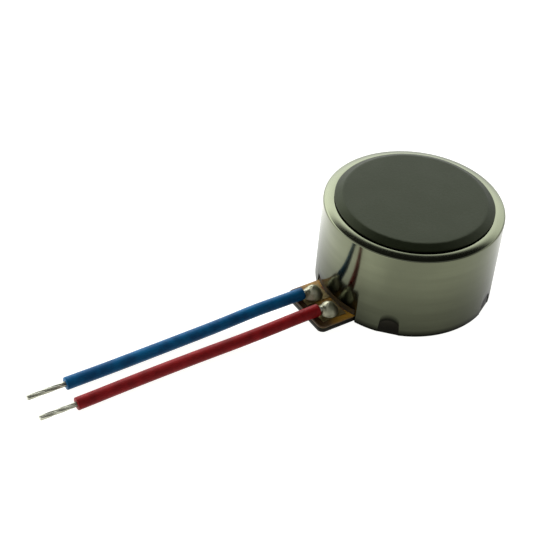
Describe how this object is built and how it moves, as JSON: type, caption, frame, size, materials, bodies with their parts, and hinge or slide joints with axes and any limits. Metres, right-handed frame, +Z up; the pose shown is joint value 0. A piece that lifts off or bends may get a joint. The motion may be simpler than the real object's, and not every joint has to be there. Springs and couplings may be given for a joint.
{
  "type": "vibration coin motor",
  "caption": "Flat round brushed vibration motor in a polished steel can, with an off-centre rotor, a foam mounting pad and two short soldered leads.",
  "frame": {"origin": "centre of the can's underside, on the shaft's axis", "axes": "+Z up along the shaft's axis, from the base plate to the mounting pad; -X is the way the flex tab and the leads leave; the blue lead is on the +Y side"},
  "size_m": [0.0278, 0.01, 0.0057],
  "materials": {
    "can_steel": "polished",
    "base_steel": "satin",
    "film_adhesive": "matte",
    "polyimide": "satin",
    "copper": "satin",
    "seal_resin": "gloss",
    "solder": "satin",
    "insulation_blue": "satin",
    "insulation_red": "satin",
    "tinned_copper": "satin",
    "magnet_nickel": "satin",
    "shaft_steel": "polished",
    "collar_brass": "satin",
    "washer_polymer": "matte",
    "brush_alloy": "satin",
    "bush_bronze": "matte",
    "board_laminate": "satin",
    "coil_wire": "gloss",
    "mould_plastic": "matte",
    "tungsten": "matte",
    "pad_adhesive": "matte",
    "pad_foam": "matte"
  },
  "bodies": {
    "stator": {"can": "can_steel", "base_plate": "base_steel", "flex_adhesive": "film_adhesive", "flex_circuit": "polyimide", "terminal_pads": "copper", "brush_pads": "copper", "tab_seal": "seal_resin", "solder_joint_blue": "solder", "solder_joint_red": "solder", "lead_insulation_blue": "insulation_blue", "lead_insulation_red": "insulation_red", "lead_conductor_blue": "tinned_copper", "lead_conductor_red": "tinned_copper", "magnet_ring": "magnet_nickel", "shaft": "shaft_steel", "shaft_collar": "collar_brass", "lower_thrust_washer": "washer_polymer", "upper_thrust_washer": "washer_polymer", "brush_blue": "brush_alloy", "brush_red": "brush_alloy", "pad_adhesive": "pad_adhesive", "mounting_pad": "pad_foam"},
    "rotor": {"bearing_bush": "bush_bronze", "rotor_board": "board_laminate", "commutator_segments": "copper", "coil_1": "coil_wire", "coil_2": "coil_wire", "counterweight": "tungsten", "rotor_mould": "mould_plastic"}
  },
  "joints": [
    {"name": "rotor_spin", "type": "hinge", "parent": "stator", "child": "rotor", "pos_m": [0, 0, 0], "axis": [0, 0, 1], "continuous": true}
  ]
}
